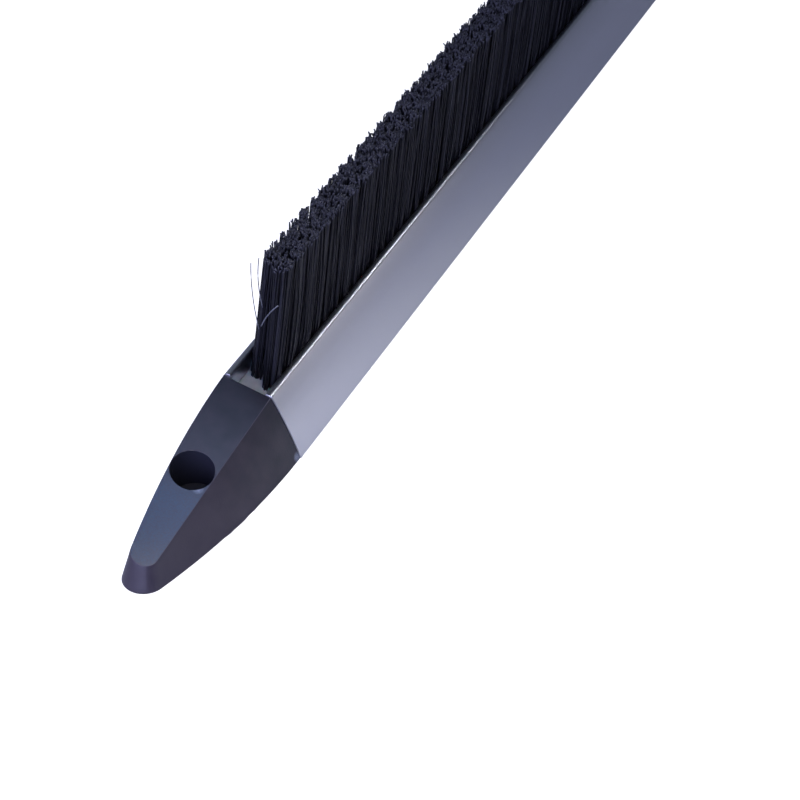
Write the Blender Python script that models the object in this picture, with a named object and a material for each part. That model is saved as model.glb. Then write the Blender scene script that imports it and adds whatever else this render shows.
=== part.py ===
"""Brush seal strip: an anodised aluminium rail that holds two rows of black nylon tufts, closed at one end
by a moulded nose with a screw hole. The rail runs along +Y from the nose, its base lies on Z = 0, and its low
lip is on the +X side, the side that the bristles lean towards. Sizes are in millimetres.
"""

import math

import bmesh
import bpy
from mathutils import Vector

MM = 0.001
FIT_GAP = 0.3
WELD_DISTANCE = 0.002

# Rail: an extrusion with a wide base, two leaning flanks, a slot between a high and a low lip, and a channel.
RAIL_LENGTH = 1000.0
BASE_WIDTH = 27.0
BASE_CORNER_RADIUS = 0.5
FLANK_BULGE = 0.4
FLANK_STEPS = 6
HIGH_LIP_HEIGHT = 18.1
HIGH_LIP_INNER = 3.95
HIGH_LIP_WIDTH = 1.4
HIGH_LIP_RADIUS = 0.55
LOW_LIP_HEIGHT = 15.7
LOW_LIP_INNER = 4.4
LOW_LIP_WIDTH = 1.8
LOW_LIP_RADIUS = 0.75
LIP_FOOT_RADIUS = 0.45
FLOOR_THICKNESS = 2.8
SCREW_CHANNEL_HALF = 4.6
LEDGE_SLOPE = 0.5
HIGH_LEDGE_HEIGHT = 5.9
HIGH_LEDGE_OUTER = 7.8
HIGH_WALL_KINK = (6.6, 10.6)
HIGH_WALL_TOP = 5.6
LOW_LEDGE_HEIGHT = 4.5
LOW_LEDGE_OUTER = 8.4
LOW_STEP_OUTER = 7.2
LOW_STEP_HEIGHT = 7.7
LOW_WALL_FOOT = 8.3
LOW_WALL = 6.3
GUIDE_GROOVE_WIDTH = 0.9
GUIDE_GROOVE_DEPTH = 0.4
FOOT_WIDTH = 3.7
FOOT_NOTCH_WIDTH = 3.0
FOOT_NOTCH_DEPTH = 0.75
FOOT_NOTCH_DRAFT = 0.2

# Holder: the white plastic bar that lies under the lips and carries the tufts. It and the tufts are tilted.
CHANNEL_CEILING = 12.6
HOLDER_TILT = 8.0
HOLDER_THICKNESS = 3.7
HOLDER_CHAMFER = 0.4
HOLDER_SETBACK = 2.5
OPEN_END_BARE = 20.0

# Tufts: two staggered rows. A tuft is narrow where it leaves the holder, fans out and meets its neighbours.
STRIP_HEIGHT = 46.5
BRISTLE_LEAN = 5.4
TUFT_PITCH = 4.8
TUFT_ROOT_LENGTH = 3.4
TUFT_ROOT_WIDTH = 2.9
TUFT_TOP_WIDTH = 3.5
TUFTS_MEET_HEIGHT = 21.0
TUFT_CROWN = 0.7
ROW_SPACING = 3.8
ROWS_OFFSET = 0.4
FIRST_TUFT = 6.3
HOLDER_END_MARGIN = 2.2

# Nose: a moulded cap with a sloping top, a stepped screw hole and a plug that keys into the rail's channel.
NOSE_LENGTH = 53.5
NOSE_INSET = 0.4
NOSE_BASE_RADIUS = 5.0
NOSE_TOP_RADIUS = 3.1
NOSE_RAKE = 2.8
NOSE_DRIFT = 1.1
NOSE_HIGH_EASE = 0.5
NOSE_CREST_DROP = 0.55
NOSE_LOW_HEIGHT = 5.1
NOSE_HIGH_HEIGHT = 6.8
NOSE_TOP_CURVE = 0.41
NOSE_STEPS = 12
NOSE_ARC_STEPS = 12
NOSE_LEVELS = 4
SCREW_HEAD_DIAMETER = 9.6
SCREW_SHANK_DIAMETER = 5.5
SCREW_SEAT_HEIGHT = 4.0
SCREW_SETBACK = 25.9
SCREW_OFFSET = 0.45
HOLE_SIDES = 32
PLUG_LENGTH = 15.0
PLUG_ROOT = 3.0
PLUG_HALF = 6.4

TOTAL_LENGTH = NOSE_LENGTH + RAIL_LENGTH
RAIL_START = NOSE_LENGTH - TOTAL_LENGTH / 2
TILT_SLOPE = math.tan(math.radians(HOLDER_TILT))
LEAN_SLOPE = math.tan(math.radians(BRISTLE_LEAN))


def clear_scene():
    for obj in list(bpy.data.objects):
        bpy.data.objects.remove(obj)


def material(name, colour, roughness, metallic):
    """A Principled BSDF in the part's colour, given as linear values."""
    made = bpy.data.materials.new(name)
    made.use_nodes = True
    shader = made.node_tree.nodes["Principled BSDF"]
    shader.inputs["Base Color"].default_value = (*colour, 1.0)
    shader.inputs["Roughness"].default_value = roughness
    shader.inputs["Metallic"].default_value = metallic
    return made


def add_object(name, bm, finish, sharp_degrees=30.0):
    """Turns a bmesh drawn in millimetres into an object in metres whose faces point out."""
    bmesh.ops.remove_doubles(bm, verts=bm.verts, dist=WELD_DISTANCE)
    bmesh.ops.recalc_face_normals(bm, faces=bm.faces)
    bmesh.ops.scale(bm, vec=(MM, MM, MM), verts=bm.verts)
    mesh = bpy.data.meshes.new(name)
    bm.to_mesh(mesh)
    bm.free()
    if finish:
        mesh.materials.append(finish)
    mesh.shade_smooth()
    mesh.set_sharp_from_angle(angle=math.radians(sharp_degrees))
    obj = bpy.data.objects.new(name, mesh)
    bpy.context.scene.collection.objects.link(obj)
    return obj


def loop_of(bm, points):
    """A closed ring of edges through the points. Returns its vertices and its edges."""
    verts = [bm.verts.new(p) for p in points]
    edges = [bm.edges.new((a, b)) for a, b in zip(verts, verts[1:] + verts[:1])]
    return verts, edges


def profile_face(bm, profile, y):
    verts, _ = loop_of(bm, [(x, y, z) for x, z in profile])
    bm.faces.new(verts)


def round_corners(bm, corners, radius, segments=4):
    """Rounds the profile's corners that lie at the given (x, z) places."""
    found = [
        v for v in bm.verts if any(math.hypot(v.co.x - x, v.co.z - z) < 1e-3 for x, z in corners)
    ]
    bmesh.ops.bevel(
        bm,
        geom=found,
        offset=radius,
        segments=segments,
        profile=0.5,
        affect="VERTICES",
        material=-1,
    )


def extrude_along(bm, length):
    pulled = bmesh.ops.extrude_face_region(bm, geom=bm.faces[:])
    moved = [v for v in pulled["geom"] if isinstance(v, bmesh.types.BMVert)]
    bmesh.ops.translate(bm, vec=(0, length, 0), verts=moved)


def ceiling(x):
    """The height of the lips' undersides, which the holder's top follows."""
    return CHANNEL_CEILING - TILT_SLOPE * x


def flank(start, end):
    """Points between two corners of the section, both left out, on a shallow outward arc."""
    run = Vector(end) - Vector(start)
    outward = 1 if end[0] > 0 else -1
    side = Vector((-run.y, run.x)).normalized() * outward
    shares = [k / FLANK_STEPS for k in range(1, FLANK_STEPS)]
    return [tuple(Vector(start) + run * t + side * FLANK_BULGE * 4 * t * (1 - t)) for t in shares]


def channel_floor(side):
    """The section's lower inside, from the guide groove out to the foot of the channel's wall."""
    return [
        (0.0, FLOOR_THICKNESS - GUIDE_GROOVE_DEPTH),
        (side * GUIDE_GROOVE_WIDTH / 2, FLOOR_THICKNESS),
        (side * SCREW_CHANNEL_HALF, FLOOR_THICKNESS),
    ]


def underside(side):
    """The section's base from a corner in to the middle, with the notch beside the foot."""
    corner = side * BASE_WIDTH / 2
    outer = corner - side * FOOT_WIDTH
    inner = outer - side * FOOT_NOTCH_WIDTH
    draft = side * FOOT_NOTCH_DRAFT
    return [
        (corner, 0.0),
        (outer, 0.0),
        (outer - draft, FOOT_NOTCH_DEPTH),
        (inner + draft, FOOT_NOTCH_DEPTH),
        (inner, 0.0),
        (0.0, 0.0),
    ]


def low_half():
    lip_outer = LOW_LIP_INNER + LOW_LIP_WIDTH
    inside = channel_floor(1) + [
        (SCREW_CHANNEL_HALF + LEDGE_SLOPE, LOW_LEDGE_HEIGHT),
        (LOW_LEDGE_OUTER, LOW_LEDGE_HEIGHT),
        (LOW_STEP_OUTER, LOW_STEP_HEIGHT),
        (LOW_WALL, LOW_WALL_FOOT),
        (LOW_WALL, ceiling(LOW_WALL)),
        (LOW_LIP_INNER, ceiling(LOW_LIP_INNER)),
        (LOW_LIP_INNER, LOW_LIP_HEIGHT),
        (lip_outer, LOW_LIP_HEIGHT),
    ]
    return inside + flank(inside[-1], (BASE_WIDTH / 2, 0.0)) + underside(1)


def high_half():
    lip_outer = -HIGH_LIP_INNER - HIGH_LIP_WIDTH
    kink_x, kink_z = HIGH_WALL_KINK
    inside = channel_floor(-1) + [
        (-SCREW_CHANNEL_HALF - LEDGE_SLOPE, HIGH_LEDGE_HEIGHT),
        (-HIGH_LEDGE_OUTER, HIGH_LEDGE_HEIGHT),
        (-kink_x, kink_z),
        (-HIGH_WALL_TOP, ceiling(-HIGH_WALL_TOP)),
        (-HIGH_LIP_INNER, ceiling(-HIGH_LIP_INNER)),
        (-HIGH_LIP_INNER, HIGH_LIP_HEIGHT),
        (lip_outer, HIGH_LIP_HEIGHT),
    ]
    return inside + flank(inside[-1], (-BASE_WIDTH / 2, 0.0)) + underside(-1)


def build_rail(finish):
    """The section once round, its outer corners and lips rounded, pulled to the rail's length."""
    bm = bmesh.new()
    profile_face(bm, low_half() + high_half()[-2:0:-1], RAIL_START)
    corner = BASE_WIDTH / 2
    round_corners(bm, [(corner, 0.0), (-corner, 0.0)], BASE_CORNER_RADIUS)
    low = (LOW_LIP_INNER, LOW_LIP_INNER + LOW_LIP_WIDTH)
    high = (-HIGH_LIP_INNER, -HIGH_LIP_INNER - HIGH_LIP_WIDTH)
    round_corners(bm, [(x, LOW_LIP_HEIGHT) for x in low], LOW_LIP_RADIUS)
    round_corners(bm, [(x, HIGH_LIP_HEIGHT) for x in high], HIGH_LIP_RADIUS)
    round_corners(bm, [(x, ceiling(x)) for x in (low[0], high[0])], LIP_FOOT_RADIUS)
    extrude_along(bm, RAIL_LENGTH)
    return add_object("aluminium_rail", bm, finish)


def build_holder(finish):
    """A flat bar with chamfered edges. Its top lies along the lips' undersides."""
    left = -HIGH_WALL_TOP + FIT_GAP
    right = LOW_WALL - FIT_GAP
    corners = [(x, ceiling(x) - FIT_GAP) for x in (left, right)]
    corners += [(x, z - HOLDER_THICKNESS) for x, z in reversed(corners)]
    bm = bmesh.new()
    profile_face(bm, corners, RAIL_START + HOLDER_SETBACK)
    round_corners(bm, corners, HOLDER_CHAMFER, segments=1)
    extrude_along(bm, RAIL_LENGTH - HOLDER_SETBACK - OPEN_END_BARE)
    return add_object("bristle_holder", bm, finish)


def tuft_ring(side, half_length, half_width, waist, shoulder_height, waist_height):
    """Six points round a tuft: a shoulder on each flank and a pair of points at each end. Heights lean with
    the bristles. A height of None puts the ring just over the holder."""
    axis = ROWS_OFFSET + side * ROW_SPACING / 2
    outline = [(-half_length, waist), (0.0, half_width), (half_length, waist)]
    outline += [(half_length, -waist), (0.0, -half_width), (-half_length, -waist)]
    ring = []
    for y, offset in outline:
        height = waist_height if y else shoulder_height
        x = axis + offset
        if height is None:
            ring.append((x, y, ceiling(x)))
        else:
            ring.append((x + (height - ceiling(axis)) * LEAN_SLOPE, y, height))
    return ring


def add_tuft(bm, side):
    """One tuft at y = 0, closed at its root and open towards its neighbours where it meets them."""
    reach = TUFT_PITCH / 2
    top_half = TUFT_TOP_WIDTH / 2
    rings = [
        tuft_ring(side, TUFT_ROOT_LENGTH / 2, TUFT_ROOT_WIDTH / 2, TUFT_ROOT_WIDTH / 4, None, None),
        tuft_ring(side, reach, top_half, top_half * 0.5, TUFTS_MEET_HEIGHT, TUFTS_MEET_HEIGHT),
        tuft_ring(side, reach, top_half, top_half * 0.8, STRIP_HEIGHT, STRIP_HEIGHT - TUFT_CROWN),
    ]
    loops = [loop_of(bm, ring) for ring in rings]
    bm.faces.new(loops[0][0])
    low, high = loops[1][0], loops[2][0]
    for a in range(6):
        b = (a + 1) % 6
        root = loops[0][0]
        bm.faces.new((root[a], root[b], low[b], low[a]))
    for a, b in ((0, 1), (1, 2), (3, 4), (4, 5)):
        bm.faces.new((low[a], low[b], high[b], high[a]))
    bm.faces.new((high[0], high[1], high[4], high[5]))
    bm.faces.new((high[1], high[2], high[3], high[4]))


def build_tuft_row(name, side, stagger, finish):
    """A row of tufts as one solid. Below the height where they meet, each stands by itself."""
    start = RAIL_START + FIRST_TUFT + stagger
    margin = OPEN_END_BARE + HOLDER_END_MARGIN
    count = int((RAIL_START + RAIL_LENGTH - margin - start) // TUFT_PITCH) + 1
    bm = bmesh.new()
    add_tuft(bm, side)
    bmesh.ops.translate(bm, vec=(0, start, 0), verts=bm.verts)
    first = bm.verts[:] + bm.edges[:] + bm.faces[:]
    for k in range(1, count):
        copied = bmesh.ops.duplicate(bm, geom=first)["geom"]
        moved = [v for v in copied if isinstance(v, bmesh.types.BMVert)]
        bmesh.ops.translate(bm, vec=(0, k * TUFT_PITCH, 0), verts=moved)
    bmesh.ops.remove_doubles(bm, verts=bm.verts, dist=WELD_DISTANCE)
    ends = [e for e in bm.edges if e.is_boundary]
    bmesh.ops.holes_fill(bm, edges=ends, sides=4)
    return add_object(name, bm, finish, sharp_degrees=75.0)


def nose_height(share, at_rail, at_tip):
    """The nose's top: it leaves the rail on a gentle slope and steepens to the tip."""
    curve = (1 - NOSE_TOP_CURVE) * share + NOSE_TOP_CURVE * share**2
    return at_rail - (at_rail - at_tip) * curve


def nose_side(half, middle, radius, centre, ease):
    """One side of the nose from the rail, where it is square to the rail's end, to where it touches the tip's
    arc. With no ease it is a parabola, and ease straightens it towards the tip. Gives its (x, y) points, x
    counted out from the rail's axis, and the angle at which it meets the arc."""
    angle = 0.0
    for _ in range(20):
        end_x = middle + radius * math.cos(angle)
        end_y = centre + radius * math.sin(angle)
        angle = math.atan((2 - ease) * (half - end_x) / end_y)
    points = []
    for k in range(NOSE_STEPS + 1):
        t = k / NOSE_STEPS
        points.append((half - (half - end_x) * ((1 + ease) * t**2 - ease * t**3), end_y * t))
    return points, angle


def nose_outline(half_low, half_high, radius, tip, high_ease):
    """One level of the nose as a closed ring from the low side round the tip to the high side. The tip's arc
    lies off the rail's axis, on the low side."""
    centre = tip - radius
    low_side, low_angle = nose_side(half_low, NOSE_DRIFT, radius, centre, 0.0)
    high_side, high_angle = nose_side(half_high, -NOSE_DRIFT, radius, centre, high_ease)
    turn = math.pi - high_angle - low_angle
    angles = [low_angle + turn * k / NOSE_ARC_STEPS for k in range(1, NOSE_ARC_STEPS)]
    arc = [(NOSE_DRIFT + radius * math.cos(a), centre + radius * math.sin(a)) for a in angles]
    outline = low_side + arc + [(-x, y) for x, y in reversed(high_side)]
    return [Vector((x, y, 0.0)) for x, y in outline]


def build_nose(finish):
    """Lofted from its base outline to its top outline, joined to its plug and pierced by the screw hole."""
    base_half = BASE_WIDTH / 2 - NOSE_INSET
    low_edge = LOW_LIP_INNER + LOW_LIP_WIDTH - FIT_GAP / 2
    high_edge = HIGH_LIP_INNER + HIGH_LIP_WIDTH + FIT_GAP
    tip = NOSE_LENGTH - FIT_GAP
    top_tip = tip - NOSE_RAKE
    base = nose_outline(base_half, base_half, NOSE_BASE_RADIUS, tip, NOSE_HIGH_EASE)
    top = nose_outline(low_edge, high_edge, NOSE_TOP_RADIUS, top_tip, 0.0)
    for k, p in enumerate(top):
        low = nose_height(p.y / top_tip, LOW_LIP_HEIGHT - NOSE_CREST_DROP, NOSE_LOW_HEIGHT)
        high = nose_height(p.y / top_tip, HIGH_LIP_HEIGHT - NOSE_CREST_DROP, NOSE_HIGH_HEIGHT)
        turned = min(max((k - NOSE_STEPS) / NOSE_ARC_STEPS, 0.0), 1.0)
        p.z = low + (high - low) * (1 - math.cos(math.pi * turned)) / 2
    bm = bmesh.new()
    levels = []
    for k in range(NOSE_LEVELS + 1):
        t = k / NOSE_LEVELS
        ring = []
        for b, p in zip(base, top):
            lean = Vector((p.z - b.z, 0, b.x - p.x)).normalized() * (1 if b.x > 0 else -1)
            lean.z = abs(lean.z)
            swell = FLANK_BULGE * 4 * t * (1 - t) * (1 - b.y / NOSE_LENGTH) ** 2
            ring.append(b.lerp(p, t) + lean * swell)
        levels.append(loop_of(bm, [(p.x, -p.y, p.z) for p in ring]))
    for lower, upper in zip(levels, levels[1:]):
        bmesh.ops.bridge_loops(bm, edges=lower[1] + upper[1])
    bm.faces.new(levels[0][0])
    crest = levels[-1][0]
    for k in range(len(crest) // 2):
        ring = (crest[k], crest[k + 1], crest[-k - 2], crest[-k - 1])
        bm.faces.new(list(dict.fromkeys(ring)))
    bmesh.ops.translate(bm, vec=(0, RAIL_START - FIT_GAP, 0), verts=bm.verts)
    nose = add_object("end_cap", bm, finish)
    add_boolean(nose, build_plug(), "UNION")
    add_boolean(nose, build_screw_cutter(), "DIFFERENCE")
    return nose


def build_plug():
    """The plug lies on the rail's floor and over its ledges, and ends just under the holder."""
    root = SCREW_CHANNEL_HALF - FIT_GAP
    step = HIGH_LEDGE_HEIGHT + FIT_GAP
    below = HOLDER_THICKNESS + 2 * FIT_GAP
    profile = [
        (-root, FLOOR_THICKNESS + FIT_GAP),
        (root, FLOOR_THICKNESS + FIT_GAP),
        (root, step),
        (PLUG_HALF, step),
        (PLUG_HALF, ceiling(PLUG_HALF) - below),
        (-PLUG_HALF, ceiling(-PLUG_HALF) - below),
        (-PLUG_HALF, step),
        (-root, step),
    ]
    bm = bmesh.new()
    profile_face(bm, profile, RAIL_START - FIT_GAP - PLUG_ROOT)
    extrude_along(bm, PLUG_ROOT + FIT_GAP + PLUG_LENGTH)
    return add_object("plug_tool", bm, None)


def build_screw_cutter():
    """A stepped round cutter: the shank hole through the foot of the nose and the well for the screw head."""
    past = 5.0
    shank, head = SCREW_SHANK_DIAMETER / 2, SCREW_HEAD_DIAMETER / 2
    top = HIGH_LIP_HEIGHT + past
    profile = [(0, -past), (shank, -past), (shank, SCREW_SEAT_HEIGHT), (head, SCREW_SEAT_HEIGHT)]
    profile += [(head, top), (0, top)]
    bm = bmesh.new()
    verts = [bm.verts.new((r, 0, z)) for r, z in profile]
    edges = [bm.edges.new(pair) for pair in zip(verts, verts[1:])]
    bmesh.ops.spin(
        bm,
        geom=verts + edges,
        cent=(0, 0, 0),
        axis=(0, 0, 1),
        angle=2 * math.pi,
        steps=HOLE_SIDES,
        use_merge=True,
    )
    place = (SCREW_OFFSET, RAIL_START - FIT_GAP - SCREW_SETBACK, 0)
    bmesh.ops.translate(bm, vec=place, verts=bm.verts)
    return add_object("screw_tool", bm, None)


def add_boolean(target, tool, operation):
    tool.hide_render = True
    tool.display_type = "WIRE"
    cut = target.modifiers.new(tool.name, "BOOLEAN")
    cut.operation = operation
    cut.object = tool


def main():
    clear_scene()
    anodised = material("anodised_aluminium", (0.45, 0.48, 0.56), 0.38, 1.0)
    white_plastic = material("white_polypropylene", (0.72, 0.74, 0.78), 0.45, 0.0)
    black_nylon = material("black_nylon", (0.012, 0.012, 0.015), 0.5, 0.0)
    cap_plastic = material("graphite_abs", (0.03, 0.034, 0.045), 0.45, 0.0)
    build_rail(anodised)
    build_holder(white_plastic)
    build_tuft_row("tuft_row_low", 1, 0.0, black_nylon)
    build_tuft_row("tuft_row_high", -1, TUFT_PITCH / 2, black_nylon)
    build_nose(cap_plastic)


main()
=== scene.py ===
"""Looks of the brush seal strip: an anodised aluminium rail with two rows of black nylon tufts in a
white holder, and a moulded nose with a screw well at the near end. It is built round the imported
frame, in metres, +Z up.
"""

import math

import bmesh
import bpy
import numpy as np
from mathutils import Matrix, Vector


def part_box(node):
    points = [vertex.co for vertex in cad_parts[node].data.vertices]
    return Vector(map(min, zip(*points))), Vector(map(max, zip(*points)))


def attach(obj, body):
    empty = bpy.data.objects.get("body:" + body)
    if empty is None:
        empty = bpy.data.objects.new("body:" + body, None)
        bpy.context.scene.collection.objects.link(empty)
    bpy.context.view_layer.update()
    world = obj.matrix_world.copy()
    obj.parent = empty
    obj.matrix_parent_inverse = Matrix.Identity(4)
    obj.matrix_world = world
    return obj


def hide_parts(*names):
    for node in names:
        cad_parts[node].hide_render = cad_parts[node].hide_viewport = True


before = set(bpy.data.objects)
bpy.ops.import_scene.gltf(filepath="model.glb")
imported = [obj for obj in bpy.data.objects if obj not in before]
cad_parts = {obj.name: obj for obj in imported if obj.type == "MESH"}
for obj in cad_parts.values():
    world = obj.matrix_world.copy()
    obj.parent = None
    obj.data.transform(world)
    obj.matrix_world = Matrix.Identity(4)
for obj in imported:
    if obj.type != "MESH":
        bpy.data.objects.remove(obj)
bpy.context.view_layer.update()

# Rail: one length of aluminium, extruded to a triangle-like section with a slot along its top and
# satin anodised in its natural colour. The holder slides into it and the nose plugs into its end.
MM = 0.001
DIE_LINE = 0.8 * MM
DIE_LINE_RUN = 260 * MM
DIE_LINE_DEPTH = 0.02 * MM
RAIL_EDGE = 0.12 * MM
RAIL_CREASE = math.radians(30)
FACET_BLEND = 40
SAME_PLACE = 0.001 * MM
SAME_PLANE = math.radians(0.2)


def linear(hex_colour):
    """An sRGB hex colour as the linear RGBA that shaders take."""
    channels = [int(hex_colour[k : k + 2], 16) / 255 for k in (1, 3, 5)]
    return [c / 12.92 if c <= 0.04045 else ((c + 0.055) / 1.055) ** 2.4 for c in channels] + [1.0]


def node(tree, kind, links=None, **settings):
    """Adds a shader node. Settings are its properties or input values, and links feed its inputs
    from sockets."""
    made = tree.nodes.new(kind)
    for name, value in settings.items():
        if hasattr(made, name):
            setattr(made, name, value)
        else:
            made.inputs[name.replace("_", " ").title()].default_value = value
    for name, socket in (links or {}).items():
        tree.links.new(socket, made.inputs[name])
    return made


def new_material(name):
    """A new material with its tree, its Principled shader and its object coordinates."""
    made = bpy.data.materials.new(name)
    made.use_nodes = True
    tree = made.node_tree
    place = node(tree, "ShaderNodeTexCoord").outputs["Object"]
    return made, tree, tree.nodes["Principled BSDF"], place


def set_down(name, mesh, material):
    """A mesh in metres becomes an object at the origin, shaded smooth."""
    mesh.shade_smooth()
    mesh.materials.append(material)
    piece = bpy.data.objects.new(name, mesh)
    bpy.context.scene.collection.objects.link(piece)
    return piece


def add_piece(name, bm, material):
    """A bmesh in metres becomes an object, and the bmesh is used up."""
    mesh = bpy.data.meshes.new(name)
    bm.to_mesh(mesh)
    bm.free()
    return set_down(name, mesh, material)


def cad_copy(name):
    """A merged copy of a CAD node's mesh, its loose triangles joined back into flat faces."""
    bm = bmesh.new()
    bm.from_mesh(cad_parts[name].data)
    bmesh.ops.remove_doubles(bm, verts=bm.verts, dist=SAME_PLACE)
    bmesh.ops.dissolve_limit(
        bm,
        angle_limit=SAME_PLANE,
        verts=bm.verts,
        edges=bm.edges,
        use_dissolve_boundaries=False,
    )
    return bm


def ease_edges(piece, width, segments, angle):
    """Rounds the edges of a piece that turn by more than an angle."""
    eased = piece.modifiers.new("eased_edges", "BEVEL")
    eased.width = width
    eased.segments = segments
    eased.limit_method = "ANGLE"
    eased.angle_limit = angle


def even_shading(piece):
    """Keeps the shading of a piece's broad faces flat up to their rounded edges."""
    evened = piece.modifiers.new("even_shading", "WEIGHTED_NORMAL")
    evened.keep_sharp = True


# Satin anodising turns the metal's mirror into a soft sheen, and the die leaves faint lines along
# it. Real ones lie much closer, too fine to show, so they are drawn as coarse as they need to be.
anodised, tree, skin, place = new_material("satin_anodised_aluminium")
skin.inputs["Metallic"].default_value = 1.0
skin.inputs["Base Color"].default_value = linear("#dddee4")
lines = node(
    tree,
    "ShaderNodeMapping",
    {"Vector": place},
    Scale=(1 / DIE_LINE, 1 / DIE_LINE_RUN, 1 / DIE_LINE),
)
streaks = node(tree, "ShaderNodeTexNoise", {"Vector": lines.outputs[0]}, Scale=1.0, Detail=2.0)
roughness = node(
    tree,
    "ShaderNodeMapRange",
    {"Value": streaks.outputs[0]},
    From_Min=0.3,
    From_Max=0.7,
    To_Min=0.285,
    To_Max=0.325,
)
tree.links.new(roughness.outputs[0], skin.inputs["Roughness"])
relief = node(
    tree,
    "ShaderNodeBump",
    {"Height": streaks.outputs[0]},
    Strength=0.08,
    Distance=DIE_LINE_DEPTH,
)
tree.links.new(relief.outputs[0], skin.inputs["Normal"])

# The CAD's flanks and lips curve in flat facets, so each shallow edge between them is blended.
bm = cad_copy("aluminium_rail")
shallow = [e for e in bm.edges if math.radians(1) < e.calc_face_angle() < RAIL_CREASE]
bmesh.ops.bevel(
    bm,
    geom=shallow,
    offset=FACET_BLEND,
    offset_type="PERCENT",
    segments=4,
    profile=0.5,
    affect="EDGES",
    material=-1,
)
rail = add_piece("rail_extrusion", bm, anodised)
rail.data.set_sharp_from_angle(angle=RAIL_CREASE)
ease_edges(rail, RAIL_EDGE, 2, math.radians(40))
even_shading(rail)
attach(rail, "root")
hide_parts("aluminium_rail")

# Holder: a bar of white polypropylene that slides into the rail under its lips. Each tuft is driven
# into a hole in its top, so little of it shows but its two ends and a pale line beside the tufts.
HOLDER_EDGE = 0.35 * MM
HOLDER_CREASE = math.radians(50)
HOLDER_GRAIN = 1.6 * MM
HOLDER_RELIEF = 0.05 * MM
HOLDER_GLOW_DEPTH = 1.5 * MM

# Extruded polypropylene is waxy. Light goes a little way into it, and its white is faintly cloudy.
# It is drawn light grey rather than white, as painted shade for the slot that it lies in.
polypropylene, tree, skin, place = new_material("white_polypropylene_extruded")
cloud = node(tree, "ShaderNodeTexNoise", {"Vector": place}, Scale=1 / HOLDER_GRAIN, Detail=4.0)
tint = node(
    tree,
    "ShaderNodeMix",
    {"Factor": cloud.outputs[0]},
    data_type="RGBA",
    A=linear("#b4b7be"),
    B=linear("#cbced5"),
)
tree.links.new(tint.outputs["Result"], skin.inputs["Base Color"])
skin.inputs["Roughness"].default_value = 0.38
skin.inputs["Subsurface Weight"].default_value = 0.15
skin.inputs["Subsurface Scale"].default_value = HOLDER_GLOW_DEPTH
relief = node(
    tree, "ShaderNodeBump", {"Height": cloud.outputs[0]}, Strength=0.15, Distance=HOLDER_RELIEF
)
tree.links.new(relief.outputs[0], skin.inputs["Normal"])

holder = add_piece("tuft_holder_bar", cad_copy("bristle_holder"), polypropylene)
holder.data.set_sharp_from_angle(angle=HOLDER_CREASE)
ease_edges(holder, HOLDER_EDGE, 3, HOLDER_CREASE)
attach(holder, "root")
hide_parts("bristle_holder")

# Tufts: seventy-two black nylon filaments are folded over and driven into each hole. They leave it
# tight, fan out and mix with their neighbours, lean over the low lip, and are trimmed level with a
# slightly ragged top. Pairs of sizes are across and along the rail.
TUFT_PITCH = 4.8 * MM
RUNS_A_ROW = 2
FILAMENTS = 72
FILAMENT_RADIUS = 0.17 * MM
RADIUS_VARIES = (0.8, 1.15)
FILAMENT_RINGS = (0.3, 0.64, 0.975, 1.0)
TUFT_ROOT = (1.9 * MM, 1.6 * MM)
HIGH_ROOT_SHIFT = -0.5 * MM
ROOT_SINK = 0.8 * MM
TUFT_SPREAD = (2.0 * MM, 2.5 * MM)
FAN_OUT = 2.2
FILAMENT_BEND = 0.3 * MM
TIP_STRAY = (0.15 * MM, 0.3 * MM)
TIP_CURL = 0.26 * MM
TIP_FLARE = 1.35
FLARE_FROM = 0.9
TRIM_RAGGED = 0.28 * MM
CROWN_DROP = 1.2 * MM
CROWN_POWER = 3
END_TUFT_DRAW = 2.4 * MM
END_TUFT_REACH = 7.0 * MM
HOLDER_TILT = math.tan(math.radians(8.0))
BRISTLE_LEAN = math.tan(math.radians(5.4))
SIDE_TONE = 0.36
CUT_TONE_AND_HIGHLIGHT = (0.2, 1.0)

# Drawn nylon is near black with a narrow sheen. Its cut tips are paler: their ends are rough,
# and part of the paleness is a painted highlight where the trimmed top catches the light. The
# attribute tone says how pale each point of a filament is.
nylon, tree, skin, _ = new_material("black_nylon_filament")
tone = node(tree, "ShaderNodeAttribute", attribute_name="tone").outputs["Fac"]
tint = node(tree, "ShaderNodeValToRGB", {"Fac": tone})
tint.color_ramp.elements[0].color = linear("#17181f")
tint.color_ramp.elements[1].color = linear("#5b5b65")
tree.links.new(tint.outputs[0], skin.inputs["Base Color"])
skin.inputs["Roughness"].default_value = 0.52
skin.inputs["Specular IOR Level"].default_value = 0.35
skin.inputs["IOR"].default_value = 1.53


def one_filament():
    """A three-sided filament one unit long and one unit in radius, as its points and its faces."""
    bm = bmesh.new()
    bmesh.ops.create_circle(bm, segments=3, radius=1.0)
    edges = bm.edges[:]
    reached = 0.0
    for share in FILAMENT_RINGS:
        pulled = bmesh.ops.extrude_edge_only(bm, edges=edges)["geom"]
        edges = [g for g in pulled if isinstance(g, bmesh.types.BMEdge)]
        tops = [g for g in pulled if isinstance(g, bmesh.types.BMVert)]
        bmesh.ops.translate(bm, vec=(0, 0, share - reached), verts=tops)
        reached = share
    bmesh.ops.holes_fill(bm, edges=bm.edges, sides=3)
    bmesh.ops.recalc_face_normals(bm, faces=bm.faces)
    bmesh.ops.triangulate(bm, faces=bm.faces)
    bm.verts.index_update()
    points = np.array([v.co for v in bm.verts])
    faces = np.array([[v.index for v in f.verts] for f in bm.faces])
    bm.free()
    return points, faces


def holder_top_at(x):
    """The height of the holder's tilted top at a place x across the rail."""
    holder_low, holder_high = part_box("bristle_holder")
    return holder_high.z - HOLDER_TILT * (x - holder_low.x)


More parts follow.
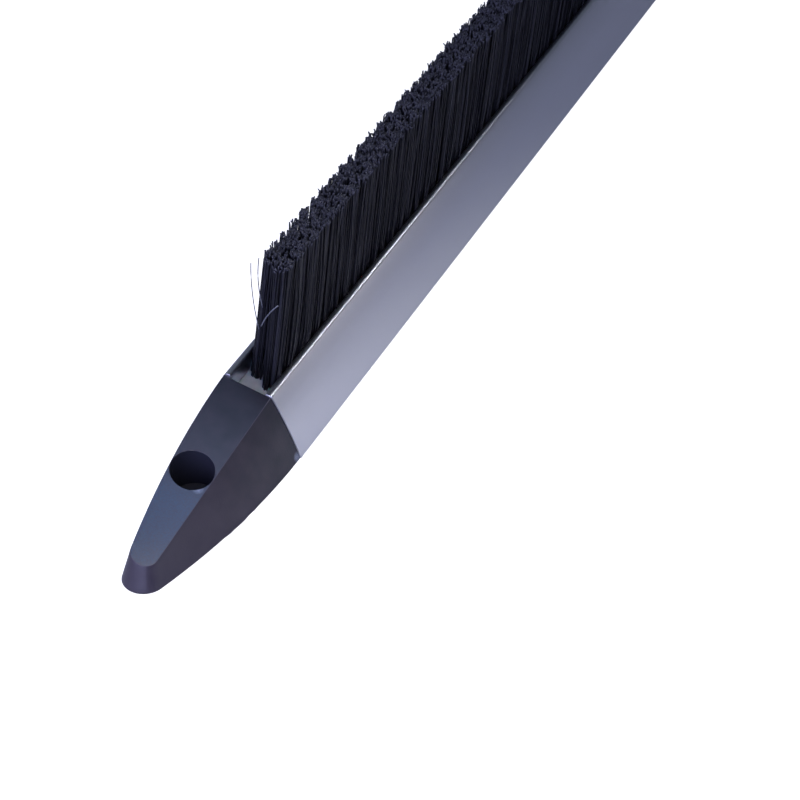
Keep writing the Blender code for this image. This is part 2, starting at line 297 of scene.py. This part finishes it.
def tuft_run(name, row, centres, seed):
    """The filaments of a run of tufts as one mesh. Each follows a line from its hole to its trimmed
    tip. Arrays are filament by filament, then point by point."""
    low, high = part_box(row)
    random = np.random.default_rng(seed)
    count = len(centres) * FILAMENTS
    axis = low.x + (high.x - low.x - (high.z - low.z) * BRISTLE_LEAN) / 2
    turn = random.uniform(0, 2 * math.pi, count)
    reach = np.sqrt(random.uniform(0, 1, count))
    across, along = reach * np.cos(turn), reach * np.sin(turn)
    middle = np.repeat(centres, FILAMENTS)

    shift = HIGH_ROOT_SHIFT if row == "tuft_row_high" else 0.0
    root_x = axis + shift + across * TUFT_ROOT[0]
    root = np.stack([root_x, middle + along * TUFT_ROOT[1]], axis=1)
    foot = holder_top_at(root_x) - ROOT_SINK
    crown = CROWN_DROP * np.abs(along) ** CROWN_POWER
    tip_z = high.z - random.uniform(0, TRIM_RAGGED, count) - crown
    lean = (tip_z - foot) * BRISTLE_LEAN
    drawn_back = END_TUFT_DRAW * np.exp(-(middle - low.y - TUFT_PITCH / 2) / END_TUFT_REACH)
    tip_x = axis + lean + across * TUFT_SPREAD[0] + random.normal(0, TIP_STRAY[0], count)
    tip_y = middle + along * TUFT_SPREAD[1] + random.normal(0, TIP_STRAY[1], count) + drawn_back
    tip = np.stack([tip_x, tip_y], axis=1)

    bend = random.normal(0, FILAMENT_BEND, (count, 2))[:, None, :]
    points, faces = one_filament()
    level = points[:, 2]
    is_tip = level == level.max()
    share = level[None, :, None]
    fanned = 1 - (1 - share) ** FAN_OUT
    drift = np.stack([lean, np.zeros(count)], axis=1)[:, None, :]
    line = root[:, None, :] + (tip[:, None, :] - root[:, None, :] - drift) * fanned
    line = line + drift * share + bend * 4 * share * (1 - share)

    radius = FILAMENT_RADIUS * random.uniform(*RADIUS_VARIES, count)[:, None, None]
    spin = random.uniform(0, 2 * math.pi, count)
    cos, sin = np.cos(spin)[:, None], np.sin(spin)[:, None]
    section_x = points[:, 0] * cos - points[:, 1] * sin
    section_y = points[:, 0] * sin + points[:, 1] * cos
    section = np.stack([section_x, section_y], axis=2)
    curl = random.normal(0, TIP_CURL, (count, 2))[:, None, :] * is_tip[None, :, None]
    flare = np.where(level > FLARE_FROM, TIP_FLARE, 1.0)[None, :, None]
    flat = line + section * radius * flare + curl
    height = foot[:, None] + (tip_z - foot)[:, None] * level[None, :]
    verts = np.concatenate([flat, height[:, :, None]], axis=2).reshape(-1, 3)
    tris = (faces[None] + (np.arange(count) * len(points))[:, None, None]).reshape(-1, 3)

    mesh = bpy.data.meshes.new(name)
    mesh.from_pydata(verts.tolist(), [], tris.tolist())
    side_tone = random.uniform(0, 1, count)[:, None] ** 2 * SIDE_TONE
    tone = np.repeat(side_tone, len(points), axis=1)
    # The trimmed tips are paler, partly as a painted highlight.
    tone[:, is_tip] += random.uniform(*CUT_TONE_AND_HIGHLIGHT, count)[:, None]
    mesh.attributes.new("tone", "FLOAT", "POINT").data.foreach_set("value", tone.ravel())
    piece = set_down(name, mesh, nylon)
    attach(piece, "root")
    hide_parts(row)


for row, seed in (("tuft_row_low", 11), ("tuft_row_high", 23)):
    low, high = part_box(row)
    tufts = round((high.y - low.y) / TUFT_PITCH)
    centres = low.y + TUFT_PITCH * (np.arange(tufts) + 0.5)
    for part, run in enumerate(np.array_split(centres, RUNS_A_ROW)):
        tuft_run(f"{row.replace('tuft_row', 'filaments')}_{part + 1}", row, run, seed + part)

# Stray fibres: a few filaments have worked loose at the near end. They are bent and stand away from
# the tufts. Each has a start, an end and the bow between them, in millimetres from the rail's end.
STRAY_RADIUS = 0.125 * MM
STRAY_SIDES = 6
STRAY_STEPS = 12
FRAY_LENGTH = 2 * MM
STRAYS = (
    ((-0.75, 8.0, 26.5), (-2.1, 8.0, 44.3), (-0.55, 0.0, 0.0)),
    ((0.4, 8.0, 33.0), (-0.05, 8.0, 46.3), (-0.6, 0.0, 0.0)),
    ((2.3, 3.7, 31.4), (6.7, 3.7, 38.6), (-0.4, 0.0, 0.15)),
)

# A single nylon filament that stands clear lets light through, so it looks grey and uneven. That
# grey is painted light for the glow, not the nylon's own black.
pale_nylon, tree, skin, place = new_material("stray_nylon_painted_backlight")
tone = node(tree, "ShaderNodeTexNoise", {"Vector": place}, Scale=1 / FRAY_LENGTH, Detail=1.0)
tint = node(
    tree,
    "ShaderNodeMix",
    {"Factor": tone.outputs[0]},
    data_type="RGBA",
    A=linear("#62646c"),
    B=linear("#96989f"),
)
tree.links.new(tint.outputs["Result"], skin.inputs["Base Color"])
skin.inputs["Roughness"].default_value = 0.35


def bowed(start, end, bow):
    """Points from start to end, pushed out sideways by bow at the middle."""
    shares = np.linspace(0, 1, STRAY_STEPS + 1)
    return [start.lerp(end, t) + bow * 4 * t * (1 - t) for t in shares]


def stray_fibre(name, route):
    """A round filament along a smooth route, with closed ends."""
    bm = bmesh.new()
    rings = []
    for k, p in enumerate(route):
        way = (route[min(k + 1, len(route) - 1)] - route[max(k - 1, 0)]).normalized()
        turn = way.to_track_quat("Z", "Y").to_matrix().to_4x4()
        turn.translation = p
        ring = bmesh.ops.create_circle(
            bm, segments=STRAY_SIDES, radius=STRAY_RADIUS, matrix=turn, cap_ends=False
        )
        rings.append(ring["verts"])
    for a, b in zip(rings, rings[1:]):
        for k in range(STRAY_SIDES):
            j = (k + 1) % STRAY_SIDES
            bm.faces.new((a[k], a[j], b[j], b[k]))
    bm.faces.new(rings[0])
    bm.faces.new(rings[-1])
    bmesh.ops.recalc_face_normals(bm, faces=bm.faces)
    piece = add_piece(name, bm, pale_nylon)
    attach(piece, "root")


rail_low, rail_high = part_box("aluminium_rail")
for k, route in enumerate(STRAYS):
    start, end, bow = [Vector(p) * MM for p in route]
    spots = [p + Vector((0, rail_low.y, 0)) for p in bowed(start, end, bow)]
    stray_fibre(f"stray_fibre_{k + 1}", spots)

# Nose: moulded in one piece from a dark graphite ABS. Its mould was spark eroded, which leaves an
# even grain, and the crest and the rim of the screw well are crisp. A plug keys it into the rail and
# a screw through the well holds it down. Sizes along it are measured from its joint to the rail.
PLUG_DEPTH = 15.0 * MM
NOSE_BASE_HALF = 13.1 * MM
NOSE_LOW_HALF = 6.05 * MM
NOSE_HIGH_HALF = 5.65 * MM
NOSE_BASE_RADIUS = 5.0 * MM
NOSE_TOP_RADIUS = 3.1 * MM
NOSE_RAKE = 2.8 * MM
NOSE_DRIFT = 1.1 * MM
NOSE_HIGH_EASE = 0.5
NOSE_CREST = ((15.15 * MM, 5.1 * MM), (17.55 * MM, 6.8 * MM))
NOSE_TOP_CURVE = 0.41
NOSE_SWELL = 1.6 * MM
NOSE_SIDE_STEPS = 28
NOSE_ARC_STEPS = 24
NOSE_LEVELS = 8
NOSE_CREASE = math.radians(32)
ARC_TRIES = 20
CREST_ROUND = 0.14 * MM
FLASH = (-0.11 * MM, 0.22 * MM)
FLASH_HEIGHT = 0.4 * MM
FLASH_FROM = 19.0 * MM
FLASH_TO = 30.0 * MM
WELL_ACROSS = 0.45 * MM
WELL_SETBACK = 25.65 * MM
WELL_RADIUS = 4.9 * MM
WELL_SEAT = 4.0 * MM
WELL_SIDES = 96
SHANK_RADIUS = 2.75 * MM
RIM_ROUND = 0.09 * MM
UPRIGHT_SLOPE = 0.05
LEVEL_SLOPE = 0.5
WALL_MARGIN = 0.02 * MM
FOOT_MARGIN = 0.1 * MM

GRAIN = 0.45 * MM
GRAIN_DEPTH = 0.05 * MM
MOTTLE = 6 * MM
TIP_LIGHT_RUN = 32.0 * MM
SPECKLE_SIZE = 0.4 * MM
TOP_SHEEN_FROM = 22.0 * MM
TOP_SHEEN_FULLY = 34.0 * MM
CHAFE_AND_GLINT_RADIUS = 1.4 * MM
CHAFE_AND_GLINT_SPOTS = ((12.7 * MM, 0.9 * MM, 0.9 * MM), (3.7 * MM, 29.1 * MM, 10.4 * MM))

cap_low, cap_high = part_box("end_cap")
nose_end = cap_high.y - PLUG_DEPTH

# Spark-textured ABS has an even satin sheen. Its colour is painted paler and browner towards
# the tip as painted light. The front of its top has a painted sheen drawn as a blue-grey speckle,
# its crest a pale painted highlight and the well's near rim a light grey painted highlight. Wear
# chafes one spot at its foot to the same light grey. The real grain is some 0.03 mm, too fine to
# show, so it is drawn as coarse as it needs to be.
moulded, tree, skin, place = new_material("graphite_abs_spark_textured")
grain = node(tree, "ShaderNodeTexNoise", {"Vector": place}, Scale=1 / GRAIN, Detail=3.0)
mottle = node(tree, "ShaderNodeTexNoise", {"Vector": place}, Scale=1 / MOTTLE, Detail=2.0)
speckle_noise = node(tree, "ShaderNodeTexNoise", {"Vector": place}, Scale=1 / SPECKLE_SIZE, Detail=4.0)
speckle = node(
    tree,
    "ShaderNodeMapRange",
    {"Value": speckle_noise.outputs[0]},
    From_Min=0.3,
    From_Max=0.7,
    To_Min=0.4,
)
along = node(tree, "ShaderNodeSeparateXYZ", {"Vector": place}).outputs["Y"]
normal = node(tree, "ShaderNodeNewGeometry").outputs["Normal"]
upward = node(tree, "ShaderNodeSeparateXYZ", {"Vector": normal}).outputs["Z"]

# Painted light: the colour turns paler and browner towards the tip, where warmer light falls.
tip_light_ramp = node(
    tree,
    "ShaderNodeMapRange",
    {"Value": along},
    From_Min=nose_end,
    From_Max=nose_end - TIP_LIGHT_RUN,
)
patchy = node(
    tree, "ShaderNodeMath", {0: tip_light_ramp.outputs[0], 1: mottle.outputs[0]}, operation="ADD"
)
share = node(
    tree, "ShaderNodeMapRange", {"Value": patchy.outputs[0]}, From_Min=0.4, From_Max=1.5
)
tint = node(
    tree,
    "ShaderNodeMix",
    {"Factor": share.outputs[0]},
    data_type="RGBA",
    A=linear("#262631"),
    B=linear("#4e4751"),
)

# Painted sheen: the front of the top, where it faces up, is painted a blue-grey speckle.
on_top = node(tree, "ShaderNodeMapRange", {"Value": upward}, From_Min=0.85, From_Max=0.93)
in_front = node(
    tree,
    "ShaderNodeMapRange",
    {"Value": along},
    From_Min=nose_end - TOP_SHEEN_FROM,
    From_Max=nose_end - TOP_SHEEN_FULLY,
)
where = node(
    tree, "ShaderNodeMath", {0: on_top.outputs[0], 1: in_front.outputs[0]}, operation="MULTIPLY"
)
sheen_speckle = node(
    tree, "ShaderNodeMath", {0: where.outputs[0], 1: speckle.outputs[0]}, operation="MULTIPLY"
)
top_sheen = node(
    tree,
    "ShaderNodeMix",
    {"Factor": sheen_speckle.outputs[0], "A": tint.outputs["Result"]},
    data_type="RGBA",
    B=linear("#465670"),
)

# Painted highlight: faces tilted between the side and the top, along the crest, are paler.
above = node(tree, "ShaderNodeMapRange", {"Value": upward}, From_Min=0.5, From_Max=0.62)
below = node(tree, "ShaderNodeMapRange", {"Value": upward}, From_Min=0.92, From_Max=0.8)
crest = node(
    tree, "ShaderNodeMath", {0: above.outputs[0], 1: below.outputs[0]}, operation="MULTIPLY"
)
crest_highlight = node(
    tree,
    "ShaderNodeMix",
    {"Factor": crest.outputs[0], "A": top_sheen.outputs["Result"]},
    data_type="RGBA",
    B=linear("#5d5a68"),
)

# Spot one is a real chafe at the foot; spot two, on the well's near rim, is a painted highlight.
reaches = []
for across, back, height in CHAFE_AND_GLINT_SPOTS:
    reach = node(tree, "ShaderNodeVectorMath", {0: place}, operation="DISTANCE")
    reach.inputs[1].default_value = (across, nose_end - back, height)
    reaches.append(reach.outputs["Value"])
nearest = node(tree, "ShaderNodeMath", dict(enumerate(reaches)), operation="MINIMUM")
near = node(
    tree,
    "ShaderNodeMapRange",
    {"Value": nearest.outputs[0]},
    From_Min=CHAFE_AND_GLINT_RADIUS,
    From_Max=0.3 * CHAFE_AND_GLINT_RADIUS,
)
flecks = node(
    tree, "ShaderNodeMath", {0: near.outputs[0], 1: speckle.outputs[0]}, operation="MULTIPLY"
)
chafe_and_glint = node(
    tree,
    "ShaderNodeMix",
    {"Factor": flecks.outputs[0], "A": crest_highlight.outputs["Result"]},
    data_type="RGBA",
    B=linear("#9aa3bb"),
)
tree.links.new(chafe_and_glint.outputs["Result"], skin.inputs["Base Color"])
skin.inputs["Roughness"].default_value = 0.3
skin.inputs["IOR"].default_value = 1.54
relief = node(
    tree, "ShaderNodeBump", {"Height": grain.outputs[0]}, Strength=0.45, Distance=GRAIN_DEPTH
)
tree.links.new(relief.outputs[0], skin.inputs["Normal"])

# A plain core pin forms the well, so its wall has no grain, and the pin's pull leaves it dull.
well_wall, tree, skin, place = new_material("graphite_abs_off_a_core_pin")
drag = node(tree, "ShaderNodeTexNoise", {"Vector": place}, Scale=1 / GRAIN, Detail=2.0)
tint = node(
    tree,
    "ShaderNodeMix",
    {"Factor": drag.outputs[0]},
    data_type="RGBA",
    A=linear("#2b2c38"),
    B=linear("#30313c"),
)
tree.links.new(tint.outputs["Result"], skin.inputs["Base Color"])
skin.inputs["Roughness"].default_value = 0.6
skin.inputs["Specular IOR Level"].default_value = 0.25
skin.inputs["IOR"].default_value = 1.54


def nose_side(half, middle, radius, centre, ease):
    """One side of the nose, square to the rail and touching the tip's arc, and its angle there. Ease
    straightens it towards the tip."""
    angle = 0.0
    for _ in range(ARC_TRIES):
        end = Vector((middle + radius * math.cos(angle), centre + radius * math.sin(angle)))
        angle = math.atan((2 - ease) * (half - end.x) / end.y)
    shares = np.linspace(0, 1, NOSE_SIDE_STEPS + 1)
    drawn_in = (half - end.x) * ((1 + ease) * shares**2 - ease * shares**3)
    return list(zip(half - drawn_in, end.y * shares)), angle


def nose_ring(half_low, half_high, radius, tip, high_ease):
    """One level of the nose in plan, from the low side round the tip to the high side."""
    centre = tip - radius
    low_side, low_angle = nose_side(half_low, NOSE_DRIFT, radius, centre, 0)
    high_side, high_angle = nose_side(half_high, -NOSE_DRIFT, radius, centre, high_ease)
    angles = np.linspace(low_angle, math.pi - high_angle, NOSE_ARC_STEPS + 1)[1:-1]
    arc = [(NOSE_DRIFT + radius * math.cos(a), centre + radius * math.sin(a)) for a in angles]
    back = [(-x, y) for x, y in reversed(high_side)]
    return [Vector((x, y, 0)) for x, y in low_side + arc + back]


def nose_crest(share, turned):
    """The height of the nose's top edge, from its low side (0) to its high side (1)."""
    fall = (1 - NOSE_TOP_CURVE) * share + NOSE_TOP_CURVE * share**2
    low, high = [start + (end - start) * fall for start, end in NOSE_CREST]
    return low + (high - low) * (1 - math.cos(math.pi * turned)) / 2


def drill(piece, radius, low, high, spot):
    """Cuts a round hole down into a piece."""
    bm = bmesh.new()
    bmesh.ops.create_cone(
        bm, cap_ends=True, segments=WELL_SIDES, radius1=radius, radius2=radius, depth=high - low
    )
    bmesh.ops.translate(bm, vec=(spot[0], spot[1], (low + high) / 2), verts=bm.verts)
    cutter = add_piece("drill", bm, moulded)
    cut = piece.modifiers.new("hole", "BOOLEAN")
    cut.operation = "DIFFERENCE"
    cut.object = cutter
    graph = bpy.context.evaluated_depsgraph_get()
    made = bpy.data.meshes.new_from_object(piece.evaluated_get(graph))
    piece.modifiers.clear()
    piece.data = made
    bpy.data.objects.remove(cutter)


# The body is a loft from its foot to its crest, closed by a flat base and a top of cross strips.
tip = nose_end - cap_low.y
base_ring = nose_ring(NOSE_BASE_HALF, NOSE_BASE_HALF, NOSE_BASE_RADIUS, tip, NOSE_HIGH_EASE)
top_ring = nose_ring(NOSE_LOW_HALF, NOSE_HIGH_HALF, NOSE_TOP_RADIUS, tip - NOSE_RAKE, 0)
for k, p in enumerate(top_ring):
    turned = min(max((k - NOSE_SIDE_STEPS) / NOSE_ARC_STEPS, 0.0), 1.0)
    p.z = nose_crest(p.y / (tip - NOSE_RAKE), turned)
bm = bmesh.new()
levels = []
for level in range(NOSE_LEVELS + 1):
    t = level / NOSE_LEVELS
    verts = []
    for b, p in zip(base_ring, top_ring):
        side = 1 if b.x > 0 else -1
        out = Vector((p.z * side, 0, abs(b.x - p.x))).normalized()
        swell = NOSE_SWELL * t * (1 - t) * (1 - b.y / tip) ** 2
        spot = b.lerp(p, t) + out * swell
        verts.append(bm.verts.new((spot.x, nose_end - spot.y, spot.z)))
    edges = [bm.edges.new(pair) for pair in zip(verts, verts[1:] + verts[:1])]
    levels.append((verts, edges))
for (_, lower), (_, upper) in zip(levels, levels[1:]):
    bmesh.ops.bridge_loops(bm, edges=lower + upper)
bm.faces.new(levels[0][0])
crest = levels[-1][0]
for k in range(len(crest) // 2):
    ring = (crest[k], crest[k + 1], crest[-k - 2], crest[-k - 1])
    bm.faces.new(list(dict.fromkeys(ring)))
bmesh.ops.recalc_face_normals(bm, faces=bm.faces)
bmesh.ops.bevel(
    bm,
    geom=levels[-1][1] + levels[0][1],
    offset=CREST_ROUND,
    segments=3,
    profile=0.5,
    affect="EDGES",
    material=-1,
)

# A little flash of plastic was left along the foot where the mould parted.
random = np.random.default_rng(5)
for vert in bm.verts:
    back = nose_end - vert.co.y
    if vert.co.z < FLASH_HEIGHT and vert.co.x > 0 and FLASH_FROM < back < FLASH_TO:
        vert.co.x += random.uniform(*FLASH)
nose = add_piece("moulded_nose", bm, moulded)
well_spot = Vector((WELL_ACROSS, nose_end - WELL_SETBACK))
drill(nose, WELL_RADIUS, WELL_SEAT, rail_high.z * 2, well_spot)
drill(nose, SHANK_RADIUS, -rail_high.z, rail_high.z, well_spot)

# The well's rim is rounded, and every face inside the well takes the second material.
nose.data.materials.clear()
nose.data.materials.append(moulded)
nose.data.materials.append(well_wall)
bm = bmesh.new()
bm.from_mesh(nose.data)
rim = []
for edge in bm.edges:
    reaches = [(v.co.xy - well_spot).length for v in edge.verts]
    on_wall = all(abs(reach - WELL_RADIUS) < WALL_MARGIN for reach in reaches)
    slopes = [abs(f.normal.z) for f in edge.link_faces]
    at_corner = min(slopes) < UPRIGHT_SLOPE and max(slopes) > LEVEL_SLOPE
    if on_wall and at_corner and edge.verts[0].co.z > WELL_SEAT + MM:
        rim.append(edge)
bmesh.ops.bevel(
    bm, geom=rim, offset=RIM_ROUND, segments=3, profile=0.5, affect="EDGES", material=-1
)
for face in bm.faces:
    reach = max((v.co.xy - well_spot).length for v in face.verts)
    if reach < WELL_RADIUS + WALL_MARGIN and min(v.co.z for v in face.verts) > FOOT_MARGIN:
        face.material_index = 1
bm.to_mesh(nose.data)
bm.free()
nose.data.shade_smooth()
nose.data.set_sharp_from_angle(angle=NOSE_CREASE)
even_shading(nose)
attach(nose, "root")
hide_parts("end_cap")

# Studio: a white table in a dim bluish room. The camera sees both as plain white, and the polished
# pieces reflect a small share of that white. A broad cool panel in front gives most of the light.
TABLE_SIZE = 6.0
TABLE_DROP = 0.1 * MM
GLEAM = 0.05
WHITE = linear("#ffffff")
ROOM = linear("#2b3548")


def whiteness(tree):
    """How white a ray finds the table or the room: wholly for the camera's, a little for one that
    was reflected, and not at all for the rest."""
    rays = node(tree, "ShaderNodeLightPath")
    gleam = node(tree, "ShaderNodeMath", {0: rays.outputs["Is Glossy Ray"]}, operation="MULTIPLY")
    gleam.inputs[1].default_value = GLEAM
    seen = {0: gleam.outputs[0], 1: rays.outputs["Is Camera Ray"]}
    return node(tree, "ShaderNodeMath", seen, operation="MAXIMUM").outputs[0]


# A matt painted board: it gives no sheen, and to the camera it is as white as the room behind it.
matt_white, tree, skin, _ = new_material("matt_white_painted_board")
skin.inputs["Base Color"].default_value = linear("#e8e8ea")
skin.inputs["Roughness"].default_value = 0.9
skin.inputs["Specular IOR Level"].default_value = 0.1
skin.inputs["Emission Color"].default_value = WHITE
tree.links.new(whiteness(tree), skin.inputs["Emission Strength"])
bm = bmesh.new()
bmesh.ops.create_grid(bm, x_segments=1, y_segments=1, size=TABLE_SIZE / 2)
bmesh.ops.translate(bm, vec=(0, 0, -TABLE_DROP), verts=bm.verts)
table = add_piece("table", bm, matt_white)

world = bpy.data.worlds.new("room")
bpy.context.scene.world = world
world.use_nodes = True
tree = world.node_tree
backdrop = node(
    tree, "ShaderNodeMix", {"Factor": whiteness(tree)}, data_type="RGBA", A=ROOM, B=WHITE
)
tree.links.new(backdrop.outputs["Result"], tree.nodes["Background"].inputs["Color"])

# Lamps: name, place, the spot it points at, size in metres, watts, colour and spread in degrees. The
# narrow ones light only the near end: the nose's top, the near flank and the edge of the lip.
NEAR_LIP = (0.005, -0.475, 0.014)
LAMPS = (
    ("overhead", (0.02, -0.26, 0.8), (0.03, -0.5, 0), (0.16, 0.16), 0.0215, "#acceff", 40),
    ("pool", (0.14, -0.49, 0.5), (0.11, -0.46, 0), (0.1, 0.1), 0.064, "#fffdfa", 33),
    ("front", (-0.2, -1.8, 0.68), (0, -0.4, 0), (2.8, 1.2), 26.0, "#c6caff", 180),
    ("strip_light", (0.36, 0.26, 0.6), NEAR_LIP, (0.4, 0.05), 0.0065, "#fafaff", 9),
    ("right_wall", (1.9, 0.1, 1.35), (0, 0, 0), (2.6, 1.2), 2.8, "#e6edff", 180),
    ("left_wall", (-1.9, 0.1, 1.35), (0, 0, 0), (2.6, 1.2), 2.8, "#e6edff", 180),
    ("low_back", (0.42, -0.06, 0.09), NEAR_LIP, (0.1, 0.1), 0.0008, "#fff8fa", 20),
)
for name, place, target, size, watts, colour, spread in LAMPS:
    light = bpy.data.lights.new(name, "AREA")
    light.shape = "RECTANGLE"
    light.size, light.size_y = size
    light.energy = watts
    light.color = linear(colour)[:3]
    light.spread = math.radians(spread)
    lamp = bpy.data.objects.new(name, light)
    bpy.context.scene.collection.objects.link(lamp)
    lamp.location = place
    lamp.rotation_euler = (Vector(target) - Vector(place)).to_track_quat("-Z", "Y").to_euler()

# Camera: in front of the nose, to the right of the strip and 40 degrees above it, with a long lens.
camera = bpy.data.objects.new("camera", bpy.data.cameras.new("camera"))
bpy.context.scene.collection.objects.link(camera)
camera.location = (0.21052, -0.83663, 0.36447)
camera.rotation_euler = [math.radians(a) for a in (49.944, -0.259, 25.646)]
camera.data.lens = 110.44
camera.data.sensor_width = 36.0
camera.data.clip_start = 0.05
bpy.context.scene.camera = camera
bpy.context.scene.view_settings.view_transform = "Standard"
